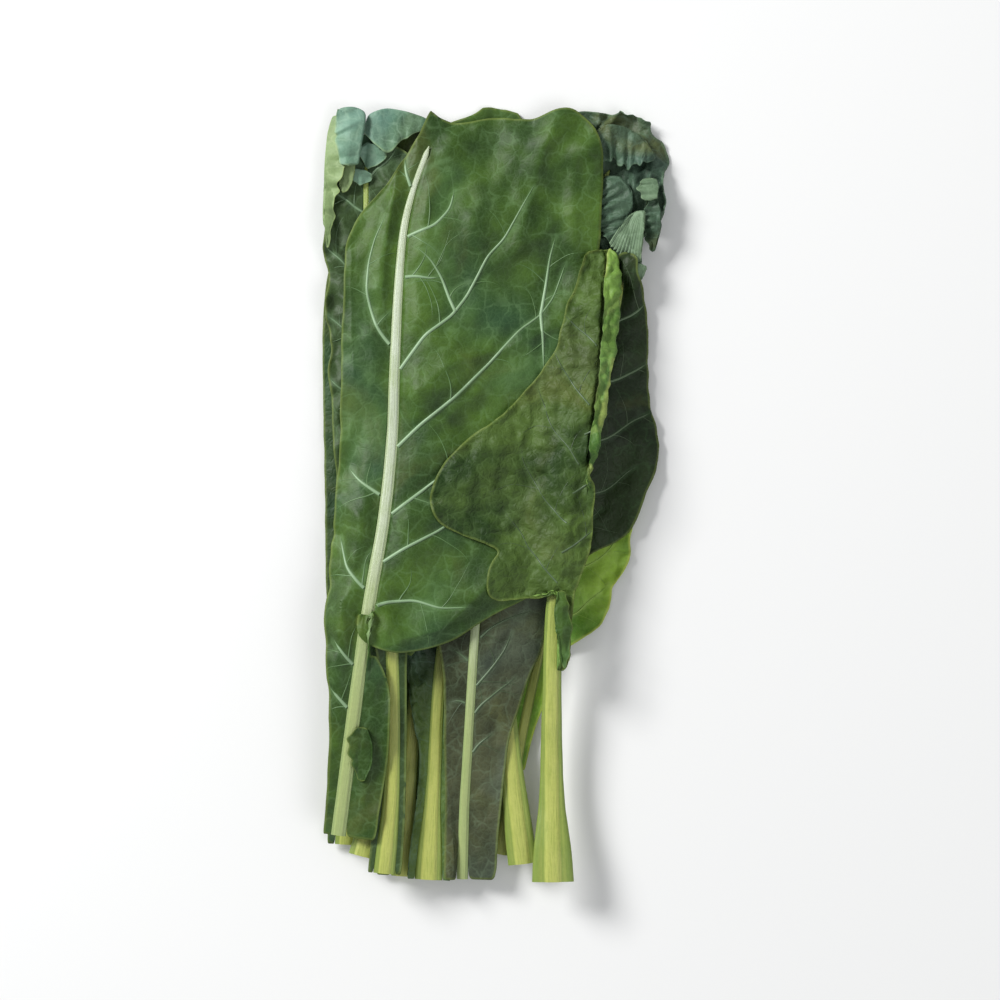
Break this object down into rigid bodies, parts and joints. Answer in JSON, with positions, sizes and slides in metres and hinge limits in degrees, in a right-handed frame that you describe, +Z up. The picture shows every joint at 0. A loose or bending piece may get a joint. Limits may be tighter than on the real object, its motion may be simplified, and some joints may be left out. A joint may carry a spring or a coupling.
{
  "type": "kale bunch",
  "caption": "Bunch of cut kale leaves laid flat one on another, with stalks together at one end and a broad smooth leaf and a curled leaf on top",
  "frame": {"origin": "middle of the bunch's outline as seen from above, at the level of the surface it lies on", "axes": "+Y from the cut stalks to the leaf tips, the bunch's longest extent; +Z up, away from the surface it lies on; +X to the right as seen from above"},
  "size_m": [0.1759, 0.3921, 0.0308],
  "materials": {
    "pale_stalk": "pale, slightly glossy stalk skin",
    "green_stalk": "yellow-green, slightly glossy stalk skin",
    "green_blade": "waxy green leaf",
    "dark_blade": "waxy dark green leaf",
    "bright_blade": "waxy bright green leaf",
    "pale_underside": "matt pale blue-green leaf underside"
  },
  "bodies": {
    "root": {"centre_leaf_stalk": "green_stalk", "centre_leaf_blade": "green_blade", "ruffled_leaf_stalk": "green_stalk", "ruffled_leaf_blade": "dark_blade", "left_leaf_stalk": "green_stalk", "left_leaf_blade": "green_blade", "thick_stalk_leaf_stalk": "green_stalk", "thick_stalk_leaf_blade": "green_blade", "upturned_leaf_stalk": "green_stalk", "upturned_leaf_blade": "pale_underside", "bright_leaf_stalk": "green_stalk", "bright_leaf_blade": "bright_blade", "dark_leaf_stalk": "green_stalk", "dark_leaf_blade": "dark_blade", "grey_leaf_stalk": "pale_stalk", "grey_leaf_blade": "dark_blade", "front_leaf_stalk": "pale_stalk", "front_leaf_blade": "green_blade", "curled_leaf_stalk": "green_stalk", "curled_leaf_blade": "green_blade"}
  },
  "joints": []
}
